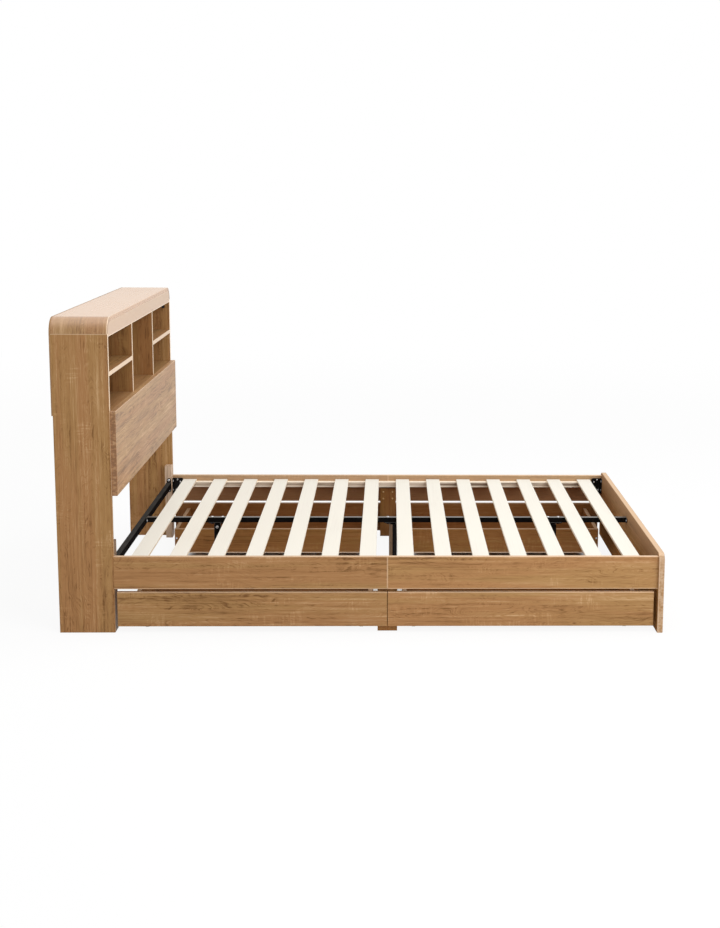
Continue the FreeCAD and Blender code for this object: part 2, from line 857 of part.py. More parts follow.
def drawer_wheels(side, end, row):
    return [castor_wheel(x, castor_y(side_sign(side), row)) for x in castor_x(end)]


def drawer_hardware(side, end):
    """Castor channels with their axles, and the screws that hold the back on."""
    sign = side_sign(side)
    items = []
    for row in ("front", "rear"):
        for x in castor_x(end):
            items.append(castor_bracket(x, castor_y(sign, row)))
            items.append(castor_pin(x, castor_y(sign, row)))
    low, high = box_x(end)
    for x in (low + box_board / 2, high - box_board / 2):
        for rise in box_screw_rises:
            seat = V(x, sign * box_back_y, box_z[0] + rise)
            items.append(bar(seat, Y_DIR * -sign, box_screw_radius, 0, box_screw_head, bolt_sides))
    return items


def build():
    os.makedirs("parts", exist_ok=True)
    for side in ("left", "right"):
        save("headboard_%s_side" % side, headboard_side(side))
        save("headboard_%s_corner" % side, headboard_corner(side))
        save("headboard_%s_divider" % side, divider(side))
        save("headboard_%s_shelf" % side, headboard_shelf(side))
        save("%s_head_post" % side, head_post(side))
        save("%s_leg_board" % side, leg_board(side))
        for end in ("head", "foot"):
            save("%s_rail_%s_half" % (side, end), side_rail(side, end))
            drawer = "%s_%s_drawer" % (side, end)
            save(drawer + "_front", drawer_front(side, end))
            save(drawer + "_sides", *drawer_sides(side, end))
            save(drawer + "_back", drawer_back(side, end))
            save(drawer + "_bottom", drawer_bottom(side, end))
            save(drawer + "_hardware", *drawer_hardware(side, end))
            save(drawer + "_front_wheels", *drawer_wheels(side, end, "front"))
            save(drawer + "_rear_wheels", *drawer_wheels(side, end, "rear"))
    save("headboard_top", headboard_top())
    save("headboard_header", headboard_header())
    save("headboard_floor", headboard_floor())
    save("headboard_back_panel", headboard_back_panel())
    save("headboard_cam_locks", *cam_discs())
    save("backrest_board", backrest_board())
    save("head_crossbar", head_crossbar())
    save("slat_ledgers", *slat_ledgers())
    save("corner_brackets", *[corner_bracket(side, end) for side, end in all_corners()])
    save("footboard", footboard())
    save("centre_beam", beam_half("head"), beam_half("foot"))
    legs = list(zip(leg_stations, leg_turns))
    save("leg_brackets", *[leg_bracket(station, turn) for station, turn in legs])
    save("support_legs", *[support_leg(station, turn) for station, turn in legs])
    save("leg_feet", *[leg_foot(station, turn) for station, turn in legs])
    save("bed_slats", *bed_slats())
    save("frame_fasteners", *frame_fasteners())


build()
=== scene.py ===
import bpy
import bmesh
import math
from mathutils import Matrix, Vector


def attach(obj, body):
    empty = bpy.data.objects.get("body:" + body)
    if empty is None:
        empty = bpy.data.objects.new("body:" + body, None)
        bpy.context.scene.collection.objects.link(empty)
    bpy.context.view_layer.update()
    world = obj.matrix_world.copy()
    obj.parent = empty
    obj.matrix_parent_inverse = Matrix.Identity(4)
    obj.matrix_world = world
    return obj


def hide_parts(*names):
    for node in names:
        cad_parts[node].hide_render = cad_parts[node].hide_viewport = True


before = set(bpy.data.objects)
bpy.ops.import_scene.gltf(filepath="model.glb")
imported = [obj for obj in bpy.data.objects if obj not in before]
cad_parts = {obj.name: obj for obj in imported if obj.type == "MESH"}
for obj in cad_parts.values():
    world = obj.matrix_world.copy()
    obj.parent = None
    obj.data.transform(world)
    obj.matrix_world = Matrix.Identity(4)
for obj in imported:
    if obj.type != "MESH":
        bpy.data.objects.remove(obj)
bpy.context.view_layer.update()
X, Y, Z = 0, 1, 2


# The room. A plain pale floor under soft studio light from above and from the
# right, and a camera far off the left side of the bed, a little above it.

class Wire:
    """A socket of a node tree. Sums on it add Math nodes; node() adds any other."""

    def __init__(self, tree, socket=None):
        self.tree = tree
        self.socket = socket

    def node(self, kind, settings=None, values=None, output=0):
        made = self.tree.nodes.new(kind)
        for name, value in (settings or {}).items():
            setattr(made, name, value)
        for name, value in (values or {}).items():
            if isinstance(value, Wire):
                self.tree.links.new(value.socket, made.inputs[name])
            else:
                made.inputs[name].default_value = value
        return Wire(self.tree, made.outputs[output] if made.outputs else None)

    def maths(self, operation, *values):
        return self.node("ShaderNodeMath", {"operation": operation}, dict(enumerate(values)))

    def __add__(self, other):
        return self.maths("ADD", self, other)

    def __radd__(self, other):
        return self.maths("ADD", other, self)

    def __sub__(self, other):
        return self.maths("SUBTRACT", self, other)

    def __rsub__(self, other):
        return self.maths("SUBTRACT", other, self)

    def __mul__(self, other):
        return self.maths("MULTIPLY", self, other)

    def __rmul__(self, other):
        return self.maths("MULTIPLY", other, self)

    def __pow__(self, other):
        return self.maths("POWER", self, other)

    def __gt__(self, other):
        return self.maths("GREATER_THAN", self, other)

    def __lt__(self, other):
        return self.maths("LESS_THAN", self, other)

    def __abs__(self):
        return self.maths("ABSOLUTE", self)

    def either(self, other):
        return self.maths("MAXIMUM", self, other)

    def between(self, low, high):
        """Zero at low, one at high, smooth in between."""
        return self.node("ShaderNodeMapRange", {"interpolation_type": "SMOOTHSTEP"},
                         {"Value": self, "From Min": low, "From Max": high})

    def within(self, low, high, soft=0.0):
        """One between two values and zero outside them, with soft borders if asked."""
        middle, half = (low + high) / 2, (high - low) / 2
        if soft:
            return 1.0 - abs(self - middle).between(half - soft, half + soft)
        return abs(self - middle) < half


def tone(red, green, blue):
    """A colour picked on a screen, as the light values that a shader takes."""
    def light(c):
        c = c / 255
        return c / 12.92 if c <= 0.04045 else ((c + 0.055) / 1.055) ** 2.4
    return (light(red), light(green), light(blue))


def mixed(share, first, second):
    """One colour turning into another as share goes from zero to one."""
    def colour(value):
        return value if isinstance(value, Wire) else (*value, 1.0)
    return share.node("ShaderNodeMix", {"data_type": "RGBA"},
                      {0: share, 6: colour(first), 7: colour(second)}, output=2)


def empty_material(name):
    made = bpy.data.materials.new(name)
    made.use_nodes = True
    made.node_tree.nodes.clear()
    return made, Wire(made.node_tree)


def split(wire, place):
    """The three parts of a vector."""
    return [wire.node("ShaderNodeSeparateXYZ", values={0: place}, output=i) for i in range(3)]


def seen_directly(wire):
    """One for what the camera sees, also by way of metal or glass."""
    def ray(kind):
        return wire.node("ShaderNodeLightPath", output=kind)
    return ray("Is Camera Ray").either(ray("Is Glossy Ray")).either(ray("Is Transmission Ray"))


air_strength = 0.62
world = bpy.data.worlds.new("studio_air")
bpy.context.scene.world = world
world.use_nodes = True
world.node_tree.nodes.clear()
air = Wire(world.node_tree)
soft = air.node("ShaderNodeBackground", values={"Color": (1, 1, 1, 1), "Strength": air_strength})
white = air.node("ShaderNodeBackground", values={"Color": (1, 1, 1, 1), "Strength": 1.0})
both = air.node("ShaderNodeMixShader", values={0: seen_directly(air), 1: soft, 2: white})
air.node("ShaderNodeOutputWorld", values={"Surface": both})

# The floor keeps all of the shadow under the bed and a tenth of it elsewhere, and
# turns quite white far off, so that no horizon shows.
shade_half_width, near_shade_end, far_shade_start = 0.535, 0.220, 0.100
shade_head, shade_foot = -0.770, 0.948
aisle_head, aisle_foot = -0.005, 0.185
fade_across, fade_along = 0.080, 0.040
near_white, far_white = 0.9, 0.1
white_from, white_to = 2.0, 8.0
floor_size, floor_drop = 60.0, 0.0005

floor_paint, paint = empty_material("studio_floor")
spot = split(paint, paint.node("ShaderNodeTexCoord", output="Object"))
beside_aisle = spot[X].within(shade_head, aisle_head, fade_along).either(
    spot[X].within(aisle_foot, shade_foot, fade_along))
under_far_drawers = spot[Y].within(far_shade_start, shade_half_width, fade_across) * beside_aisle
under_near_half = (spot[Y].within(-shade_half_width, near_shade_end, fade_across)
                   * spot[X].within(shade_head, shade_foot, fade_along))
open_floor = 1.0 - under_near_half.either(under_far_drawers)
far_off = (abs(spot[X]) ** 2.0 + abs(spot[Y]) ** 2.0) ** 0.5
white_share = near_white + far_off.between(white_from, white_to) * far_white
matt = paint.node("ShaderNodeBsdfDiffuse", values={"Color": (0.9, 0.9, 0.9, 1)})
lifted = paint.node("ShaderNodeEmission", values={"Color": (1, 1, 1, 1), "Strength": 1.0})
floor_mix = paint.node("ShaderNodeMixShader", values={
    0: seen_directly(paint) * open_floor * white_share, 1: matt, 2: lifted})
paint.node("ShaderNodeOutputMaterial", values={"Surface": floor_mix})
bpy.ops.object.select_all(action="DESELECT")
bpy.ops.mesh.primitive_plane_add(size=floor_size, location=(0.0, 0.0, -floor_drop))
studio_floor = bpy.context.object
studio_floor.name = "studio_floor"
studio_floor.data.materials.append(floor_paint)
bpy.ops.object.transform_apply(location=True, rotation=True, scale=True)


def soft_box(name, place, aim, width, depth, power):
    lamp = bpy.data.lights.new(name, "AREA")
    lamp.shape = "RECTANGLE"
    lamp.size = width
    lamp.size_y = depth
    lamp.energy = power
    holder = bpy.data.objects.new(name, lamp)
    bpy.context.scene.collection.objects.link(holder)
    holder.location = place
    holder.rotation_euler = (Vector(aim) - Vector(place)).to_track_quat("-Z", "Y").to_euler()


soft_box("overhead_soft_box", place=(1.0, -0.3, 4.0), aim=(0.4, 0.0, 0.2),
         width=4.5, depth=4.0, power=108.0)
soft_box("front_soft_box", place=(3.6, -4.6, 3.2), aim=(0.1, 0.0, 0.4),
         width=3.0, depth=3.0, power=130.0)

camera_place = Vector((0.0953, -5.6533, 1.6087))
yaw, pitch, roll = 0.0265, 0.1572, 0.0067
ahead = Vector((math.sin(yaw) * math.cos(pitch), math.cos(yaw) * math.cos(pitch), -math.sin(pitch)))
right = Vector((math.cos(yaw), -math.sin(yaw), 0.0))
above = right.cross(ahead)
rolled_right = right * math.cos(roll) + above * math.sin(roll)
rolled_above = above * math.cos(roll) - right * math.sin(roll)
lens = bpy.data.cameras.new("long_side_camera")
lens.sensor_width = 36.0
lens.lens = 55.78
lens.shift_x = -0.0722
lens.shift_y = -0.0647
lens.clip_end = 100.0
camera = bpy.data.objects.new("long_side_camera", lens)
bpy.context.scene.collection.objects.link(camera)
camera.matrix_world = Matrix((
    (rolled_right.x, rolled_above.x, -ahead.x, camera_place.x),
    (rolled_right.y, rolled_above.y, -ahead.y, camera_place.y),
    (rolled_right.z, rolled_above.z, -ahead.z, camera_place.z),
    (0.0, 0.0, 0.0, 1.0)))
bpy.context.scene.camera = camera
bpy.context.scene.view_settings.view_transform = "Standard"


# The headboard's two side boards. Particle board with a printed oak film: fine
# fibres, growth lines that run in flames, short pores and faint saw marks across
# the grain. The front edge carries a glued band, paler than the faces.

bump_strength = 0.6
facing = 0.7


def finished(made, wire, colour, roughness, height, depth, **fixed):
    """Close a material: colour, roughness and relief into one principled shader."""
    relief = wire.node("ShaderNodeBump", values={
        "Strength": bump_strength, "Distance": depth, "Height": height})
    values = {"Base Color": colour, "Roughness": roughness, "Normal": relief}
    values.update({name.replace("_", " "): value for name, value in fixed.items()})
    shader = wire.node("ShaderNodeBsdfPrincipled", values=values)
    wire.node("ShaderNodeOutputMaterial", values={"Surface": shader})
    return made


def noise(wire, point, detail, roughness=0.55, scale=1.0):
    return wire.node("ShaderNodeTexNoise", {"noise_dimensions": "3D"}, {
        "Vector": point, "Scale": scale, "Detail": detail, "Roughness": roughness})


def normals(wire):
    return split(wire, wire.node("ShaderNodeTexCoord", output="Normal"))


def board_axes(wire, along, across):
    """Ways along and across the grain, turned at the edges to follow the glued band.

    Also one on edges, one on the sawn ends, and the place on the piece.
    """
    through = X + Y + Z - along - across
    p = split(wire, wire.node("ShaderNodeTexCoord", output="Object"))
    n = normals(wire)
    end = abs(n[along]) > facing
    edge = 1.0 - (abs(n[through]) > facing)
    s = p[along] + (p[across] - p[along]) * end
    t = p[across] + (p[through] - p[across]) * edge
    return s, t, edge, end, p


def stretched(wire, s, t, seed):
    """Points for a noise that is drawn out along the grain, in patches to the metre."""
    def at(along, across, shift):
        return wire.node("ShaderNodeCombineXYZ", values={
            0: s * along, 1: t * across, 2: seed + shift})
    return at


def oak(name, along, across, seed, light=1.0, band=0.12, contrast=1.0, shine=0.45, gloss=0.12,
        warmth=0.0, scale=(1.0, 1.0), flame=1.0, saw_share=1.0, knot=None, bend=False,
        painted_sheen=None, sheen_rise=None, painted_shade_inward=None, end_shade=0.0, end_tone=(118, 82, 52),
        pale_lines=(), line_share=0.3, band_shaded_below=None):
    """Printed oak film.

    light and warmth set its level and tint, scale the strokes' number along and across
    the grain, flame how far the growth lines wander, knot where they swirl, and bend
    takes the grain round a curve. painted_sheen is the (share, colour) of a painted
    sheen, a paler colour for the light the film catches, from sheen_rise upward where
    that is given. painted_shade_inward is the (side, top, share) of a painted shade, a
    darker brown on faces turned to the bed's middle. band is the paleness of glued edges,
    end_shade the darkness of sawn ends, band_shaded_below a height under which the band
    is painted darker as shade, and pale_lines are (axis, low, high).
    """
    made, wire = empty_material(name)
    s, t, edge, end, p = board_axes(wire, along, across)
    if bend:
        s, t, edge, end = p[Z] - abs(p[Y]), p[X], p[X] * 0.0, p[X] * 0.0

    at = stretched(wire, s, t, seed)
    cloud = noise(wire, at(along=1.3, across=9.0, shift=31.8), detail=2.0)
    streak = noise(wire, at(along=2.6, across=110.0, shift=5.2), detail=3.0, roughness=0.62)
    fibre = noise(wire, at(along=14.0, across=560.0, shift=11.3), detail=2.0, roughness=0.6)
    drift = noise(wire, at(along=2.0, across=10.0, shift=0.0), detail=2.0)
    ripple = noise(wire, at(along=11.0, across=46.0, shift=13.4), detail=2.0)
    hue = noise(wire, at(along=0.8, across=17.0, shift=41.7), detail=2.0)
    figure = 0.3 + noise(wire, at(along=2.4, across=11.0, shift=7.7),
                         detail=1.0).between(0.42, 0.6) * 0.7
    patch = noise(wire, at(along=7.0, across=15.0, shift=23.2), detail=1.0).between(0.54, 0.66)
    saw = noise(wire, at(along=150.0, across=18.0, shift=29.4),
                detail=1.0).between(0.48, 0.62) * patch

    drift_reach, ripple_reach, knot_stretch, knot_radius, knot_push = 0.16, 0.016, 0.4, 0.028, 0.06
    growth = t + drift * drift_reach * flame + ripple * ripple_reach * flame
    if knot:
        reach = ((abs(s - knot[0]) * knot_stretch) ** 2.0 + abs(t - knot[1]) ** 2.0) ** 0.5
        growth = growth + (1.0 - reach.between(0.0, knot_radius)) * knot_push
    on_growth = stretched(wire, s, growth, seed)
    run, width = scale
    stroke = noise(wire, on_growth(along=13.0 * run, across=230.0 * width, shift=3.1),
                   detail=2.0, roughness=0.6).between(0.42, 0.74)
    fine = noise(wire, on_growth(along=26.0 * run, across=520.0 * width, shift=17.9),
                 detail=1.0).between(0.46, 0.7)

    cloud_depth, streak_depth, fibre_depth = 0.5, 0.8, 0.5
    stroke_depth, fine_depth, saw_height = 0.24, 0.12, 0.12
    body = (0.53 + (cloud - 0.5) * cloud_depth * contrast + (streak - 0.5) * streak_depth * contrast
            + (fibre - 0.5) * fibre_depth * contrast - stroke * figure * stroke_depth * contrast
            - fine * fine_depth * contrast + saw * saw_height * saw_share * contrast)
    tint = (light, light * (1.0 - warmth * 0.4), light * (1.0 - warmth))
    dark, olive, russet, pale = [
        tuple(c * k for c, k in zip(tone(*film_or_sheen), tint))
        for film_or_sheen in ((110, 75, 42), (156, 119, 75), (157, 115, 74), (190, 155, 115))]
    middle = mixed(hue.between(0.4, 0.6), olive, russet)
    colour = mixed(body.between(0.02, 0.5), dark, mixed(body.between(0.5, 0.98), middle, pale))

    if painted_shade_inward:
        side_way, inward_shade_top, inward_shade_share = painted_shade_inward
        toward = normals(wire)[Y] * side_way
    # Painted sheen: a paler colour mixed over the film where it catches the light.
    if painted_sheen:
        sheen_share, film_or_sheen = painted_sheen
        reach = p[Z].between(*sheen_rise) * sheen_share if sheen_rise else s * 0.0 + sheen_share
        if painted_shade_inward:
            reach = reach * (toward > -facing)
        colour = mixed(reach, colour, film_or_sheen)
    # Painted shade: a darker brown on faces turned to the bed's middle, below a height.
    if painted_shade_inward:
        shaded_inward = (toward > facing) * (p[Z] < inward_shade_top)
        colour = mixed(shaded_inward * inward_shade_share, colour, tone(124, 70, 26))

    lines = edge * band
    if end_shade:
        dash = noise(wire, at(along=150.0, across=70.0, shift=51.3), detail=2.0).between(0.35, 0.65)
        shaded = tuple(c * light for c in tone(*end_tone))
        colour = mixed(end * (end_shade + (dash - 0.5) * 0.7), colour, shaded)
        lines = lines * (1.0 - end)
    # Painted shade: the glued band darker below a height.
    if band_shaded_below:
        lines = lines * (0.12 + (p[Z] > band_shaded_below) * 0.88)
    for axis, low, high in pale_lines:
        lines = lines.either(p[axis].within(low, high) * line_share)
    cream = tuple(min(1.0, c * light) for c in tone(228, 202, 174))
    colour = mixed(lines, colour, cream)
    rough = shine + (1.0 - fibre) * 0.1 + stroke * figure * 0.05 - lines * 0.12
    relief = fibre * 0.45 - stroke * figure * 0.4 - fine * 0.3
    return finished(made, wire, colour, rough, relief, depth=0.0002, Specular_IOR_Level=gloss)


def dress(node, material):
    """Give a machined piece its finish."""
    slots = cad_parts[node].data.materials
    slots.clear()
    slots.append(material)


corner_seam, seam_line = 1.065, 0.003
backrest_low = 0.495
# Painted light and shade: the far board is painted lighter than the near one, and the glued band
# darker below the backrest's top, where it lies in shade.
for side, seed, light in (("left", 3.0, 1.02), ("right", 9.0, 1.22)):
    dress("headboard_%s_side" % side, oak(
        "oak_%s_side" % side, Z, X, seed, light=light, band=1.0, contrast=1.3, warmth=0.04,
        flame=2.4, band_shaded_below=backrest_low,
        pale_lines=((Z, corner_seam - seam_line, corner_seam),)))


# The two bent corners of the headboard, a quarter round of film-wrapped board.
# The grain runs round the bend, so it shows as short dark and light stripes.

head_front = -0.875
bend_start, bend_top = 1.075, 1.121
# Both are painted paler from the start of the bend to its top: a painted sheen where the bend turns
# up to the light.
for side, seed in (("left", 5.9), ("right", 11.9)):
    dress("headboard_%s_corner" % side, oak(
        "oak_%s_corner" % side, Z, X, seed, contrast=1.8, shine=0.32, gloss=0.5, bend=True,
        scale=(1.5, 1.3), saw_share=0.3,
        painted_sheen=(0.5, tone(206, 172, 146)), sheen_rise=(bend_start, bend_top),
        pale_lines=((X, head_front - seam_line, head_front),), line_share=0.8))


# Top board and front header. Smoother film than the sides, with a bright line at the glued
# edge, and a painted sheen that makes them far paler for the light they take at a low angle.

top_line, header_line = (Z, 1.1188, 1.1205), (Z, 1.050, 1.057)
dress("headboard_top", oak(
    "oak_top", Y, X, 21.0, light=1.1, band=0.0, contrast=0.5, shine=0.22, gloss=0.5,
    painted_sheen=(0.62, tone(209, 166, 128)), pale_lines=(top_line,), line_share=0.25))
dress("headboard_header", oak(
    "oak_header", Y, Z, 23.0, light=1.3, band=0.0, contrast=0.6, shine=0.26, gloss=0.5,
    painted_sheen=(0.72, tone(208, 177, 147)), pale_lines=(header_line,), line_share=0.5))


# The bookcase: floor, two dividers, two half-height shelves and a thin back, all
# with the oak film and a pale band on the front edges.

# Painted shade inside the compartments: the floor, shelves and back are painted darker, the back
# most, and the dividers and back warmer.
dress("headboard_floor", oak("oak_floor", Y, X, 25.0, light=0.88, band=0.2))
for side, seed in (("left", 3.0), ("right", 9.0)):
    dress("headboard_%s_divider" % side, oak(
        "oak_%s_divider" % side, Z, X, seed + 1.3, light=0.98, band=1.0, warmth=0.15))
    dress("headboard_%s_shelf" % side, oak(
        "oak_%s_shelf" % side, Y, X, seed + 2.1, light=0.95, band=1.0))
dress("headboard_back_panel", oak(
    "oak_back_panel", Z, Y, 27.0, light=0.8, contrast=1.2, warmth=0.2))


# Cam discs that draw the headboard's boards together. Zinc castings, flush with
# the board they sit in, with a rim, a sunk face and a cross for the driver.

square_on = 0.9


def plated(name, shade_dark=0.0, low=(176, 176, 178), high=(222, 222, 224)):
    """Metal plate between two tones; shade_dark paints it from bright to nearly black as shade."""
    made, wire = empty_material(name)
    place = wire.node("ShaderNodeTexCoord", output="Object")
    haze = noise(wire, place, detail=3.0, scale=160.0)
    bright = mixed(haze, tone(*low), tone(*high))
    colour = mixed(haze * 0.1 + shade_dark, bright, tone(24, 24, 25))
    return finished(made, wire, colour, 0.24 + haze * 0.2, haze, depth=0.00005, Metallic=1.0)


def looks_up(centre, normal):
    return normal.z > square_on


def looks_down(centre, normal):
    return normal.z < -square_on


def face_pick(piece, wanted):
    """In edit mode, select the faces whose centre and normal pass a test."""
    bpy.ops.mesh.select_all(action="DESELECT")
    shape = bmesh.from_edit_mesh(piece.data)
    for face in shape.faces:
        if wanted(face.calc_center_median(), face.normal):
            face.select_set(True)
    bmesh.update_edit_mesh(piece.data)


def drawn_out(rise, narrower=1.0):
    """Pull the selected faces along Z and narrow them about it."""
    bpy.ops.mesh.extrude_region_move(TRANSFORM_OT_translate={"value": (0.0, 0.0, rise)})
    if narrower != 1.0:
        bpy.ops.transform.resize(value=(narrower, narrower, 1.0), center_override=(0.0, 0.0, 0.0))


def round_blank(name, sides, radius, depth, top):
    """A round blank about Z whose upper face lies at a height, open in edit mode."""
    bpy.ops.object.select_all(action="DESELECT")
    bpy.ops.mesh.primitive_cylinder_add(vertices=sides, radius=radius, depth=depth,
                                        location=(0.0, 0.0, top - depth / 2))
    blank = bpy.context.object
    blank.name = name
    bpy.ops.object.transform_apply(location=True, rotation=True, scale=True)
    bpy.ops.object.mode_set(mode="EDIT")
    bpy.ops.mesh.select_mode(type="FACE")
    return blank


def cut_away(piece, cutter):
    """Take one solid out of another."""
    cut = piece.modifiers.new("recess", "BOOLEAN")
    cut.operation = "DIFFERENCE"
    cut.solver = "EXACT"
    cut.object = cutter
    bpy.ops.object.select_all(action="DESELECT")
    bpy.context.view_layer.objects.active = piece
    bpy.ops.object.modifier_apply(modifier=cut.name)
    bpy.data.objects.remove(cutter)


def cross_recess(piece, arm, width, top, depth):
    """Sink a cross for a driver into the upper face."""
    for length, breadth in ((arm, width), (width, arm)):
        bpy.ops.object.select_all(action="DESELECT")
        bpy.ops.mesh.primitive_cube_add(size=1.0, location=(0.0, 0.0, top))
        blade = bpy.context.object
        blade.scale = (length * 2, breadth, depth * 2)
        bpy.ops.object.transform_apply(location=True, rotation=True, scale=True)
        cut_away(piece, blade)


def made_active(piece):
    bpy.ops.object.select_all(action="DESELECT")
    piece.select_set(True)
    bpy.context.view_layer.objects.active = piece


def smoothed(piece):
    """Shade the round faces smooth and leave the arrises sharp."""
    made_active(piece)
    bpy.ops.object.shade_smooth_by_angle(angle=math.radians(35.0))


def set_on(master, name, seat, outward):
    """A copy with its own mesh, its Z = 0 plane on a seat and its head facing outward."""
    copy = master.copy()
    copy.data = master.data.copy()
    copy.name = name
    bpy.context.scene.collection.objects.link(copy)
    turn = Vector((0.0, 0.0, 1.0)).rotation_difference(Vector(outward)).to_matrix().to_4x4()
    copy.data.transform(Matrix.Translation(Vector(seat)) @ turn)
    return copy


def gathered(master, name, seats, material, body="bed_frame", stands_for="frame_fasteners"):
    """Copies of one master on all its seats, joined as one piece that rides on a body."""
    copies = [set_on(master, name, seat, outward) for seat, outward in seats]
    bpy.ops.object.select_all(action="DESELECT")
    for copy in copies:
        copy.select_set(True)
    bpy.context.view_layer.objects.active = copies[0]
    bpy.ops.object.join()
    joined = bpy.context.view_layer.objects.active
    joined.name = name
    joined.data.materials.clear()
    joined.data.materials.append(material)
    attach(joined, body)
    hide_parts(stands_for)
    return joined


rim, sunk = 0.0009, 0.0008
ring, raised, ring_taper = 0.0014, 0.0005, 0.94
cam = round_blank("cam_disc", sides=32, radius=0.0072, depth=0.012, top=0.0)
face_pick(cam, looks_up)
bpy.ops.mesh.inset(thickness=rim)
drawn_out(-sunk)
bpy.ops.mesh.inset(thickness=ring)
drawn_out(raised, ring_taper)
bpy.ops.object.mode_set(mode="OBJECT")
cross_recess(cam, arm=0.0032, width=0.0013, top=-0.0003, depth=0.0025)
smoothed(cam)

cam_setback, cam_inset, rear_cam_x = 0.027, 0.032, -1.043
side_face, cam_rise = 0.694, 1.033
shelf_under, floor_under = 0.9165, 0.779
cam_seats = []
for way in (-1, 1):
    for x in (head_front - cam_setback, rear_cam_x):
        cam_seats.append(((x, way * side_face, cam_rise), (0, -way, 0)))
        for under in (shelf_under, floor_under):
            cam_seats.append(((x, way * (side_face - cam_inset), under), (0, 0, -1)))
# Their zinc is painted nearly black, as painted shade.
gathered(cam, "headboard_cam_discs", cam_seats, plated("zinc_cam_painted_shade", shade_dark=0.75),
         stands_for="headboard_cam_locks")
bpy.data.objects.remove(cam)


# The backrest. A wide board on the fronts of the side boards, its film embossed
# with long dark strokes. Its ends show the darker film of the underside.

backrest_high = 0.795
glue_low, glue_high = backrest_high - 0.002, backrest_high - 0.0003
# A faint painted sheen makes its face a little paler.
dress("backrest_board", oak(
    "oak_backrest", Y, Z, 29.0, light=1.2, band=0.0, contrast=1.5, shine=0.4, gloss=0.4,
    scale=(0.35, 0.75), painted_sheen=(0.1, tone(196, 162, 130)), end_shade=0.75,
    pale_lines=((Z, glue_low, glue_high),)))


# The two head posts, of planed softwood with small knots, and the square steel
# tube between them under a satin black powder coat.

def knots(wire, s, t, seed):
    """Small dark eyes with a soft halo, scattered along the grain."""
    spacing, longer = 0.09, 2.2
    point = wire.node("ShaderNodeCombineXYZ", values={
        0: s * (1.0 / spacing), 1: t * (longer / spacing), 2: seed})
    reach = wire.node("ShaderNodeTexVoronoi", {"feature": "F1"}, {"Vector": point, "Scale": 1.0},
                      output="Distance")
    eye = 1.0 - reach.between(0.035, 0.075)
    halo = 1.0 - reach.between(0.05, 0.2)
    return eye + halo * 0.3


def pine(name, along, across, seed, films, contrast, knot=0.0, band=None, lines=()):
    """Softwood from dark, middle and pale tones.

    knot is how dark its knots are, band the tone of its edges, and lines are painted
    highlights, bright strips as (axis, low, high).
    """
    made, wire = empty_material(name)
    s, t, edge, _, p = board_axes(wire, along, across)
    at = stretched(wire, s, t, seed)
    drift = noise(wire, at(along=1.1, across=14.0, shift=0.0), detail=1.0)
    rings_a_metre, ring_wander = 90.0, 5.0
    field = t * rings_a_metre + drift * ring_wander
    ring = field.maths("FRACT", field) ** 2.0
    fibre = noise(wire, at(along=8.0, across=420.0, shift=4.4), detail=3.0, roughness=0.6)
    cloud = noise(wire, at(along=2.4, across=9.0, shift=8.8), detail=2.0)
    cloud_depth, fibre_depth, ring_depth = 0.8, 0.6, 0.16
    body = 0.5 + ((cloud - 0.5) * cloud_depth + (fibre - 0.5) * fibre_depth
                  - ring * ring_depth) * contrast
    dark, middle, pale = [tone(*film_or_sheen) for film_or_sheen in films]
    colour = mixed(body.between(0.0, 0.5), dark, mixed(body.between(0.5, 1.0), middle, pale))
    if knot:
        colour = mixed(knots(wire, s, t, seed) * knot, colour, tone(92, 62, 42))
    if band:
        colour = mixed(edge, colour, tone(*band))
    # Painted highlights: bright strips at given places.
    for axis, low, high in lines:
        colour = mixed(p[axis].within(low, high) * 0.85, colour, tone(250, 238, 218))
    rough = 0.5 + (1.0 - fibre) * 0.14
    return finished(made, wire, colour, rough, fibre * 0.5 - ring * 0.3, depth=0.0002)


# Lit and shaded copies: the near post's tones are painted dark for the shade it stands in, the far
# post's pale for the light on it.
for side, seed, films in (("left", 75.0, ((78, 56, 40), (122, 94, 70), (156, 126, 98))),
                          ("right", 77.0, ((140, 110, 88), (205, 177, 150), (230, 208, 184)))):
    dress("%s_head_post" % side, pine(
        "pine_%s_post" % side, Z, Y, seed, films, contrast=1.4, knot=0.9))


def powder_coat(name, top_sheen=0.3, shine=0.25, gloss=0.12, painted_reflection_face=None):
    """Satin black coat, painted paler grey on up-facing faces as a painted sheen.

    painted_reflection_face is (x, way_x, way_y): where a tube stands that has a painted
    reflection, a streaked tan, on one face, and which way that face looks.
    """
    made, wire = empty_material(name)
    place = wire.node("ShaderNodeTexCoord", output="Object")
    p = split(wire, place)
    n = normals(wire)
    peel = noise(wire, place, detail=2.0, scale=900.0)
    cloud = noise(wire, place, detail=2.0, scale=15.0)
    colour = mixed(cloud, tone(8, 7, 7), tone(18, 16, 16))
    # Painted sheen: up-facing faces mixed toward a pale grey.
    colour = mixed((n[Z] > square_on) * (cloud * top_sheen + top_sheen * 0.5), colour, tone(176, 170, 162))
    # Painted reflection: one face of a tube painted a streaked tan, the wood seen in it.
    if painted_reflection_face:
        centre, way_x, way_y = painted_reflection_face
        half_clear, strands, strand_run = 0.03, 300.0, 4.0
        reflection_mask = (n[X] * way_x + n[Y] * way_y) > square_on
        here = p[X].within(centre - half_clear, centre + half_clear)
        grain = noise(wire, wire.node("ShaderNodeCombineXYZ", values={
            0: p[X] * strands, 1: p[Y] * strands, 2: p[Z] * strand_run}), detail=2.0)
        reflected_tan = mixed(grain, tone(126, 98, 74), tone(160, 138, 114))
        colour = mixed(reflection_mask * here, colour, reflected_tan)
    return finished(made, wire, colour, shine + cloud * 0.12, peel, depth=0.0001,
                    Specular_IOR_Level=gloss)


black = powder_coat("black_powder_coat")
dress("head_crossbar", powder_coat("black_crossbar_coat", top_sheen=0.08, shine=0.55, gloss=0.01))


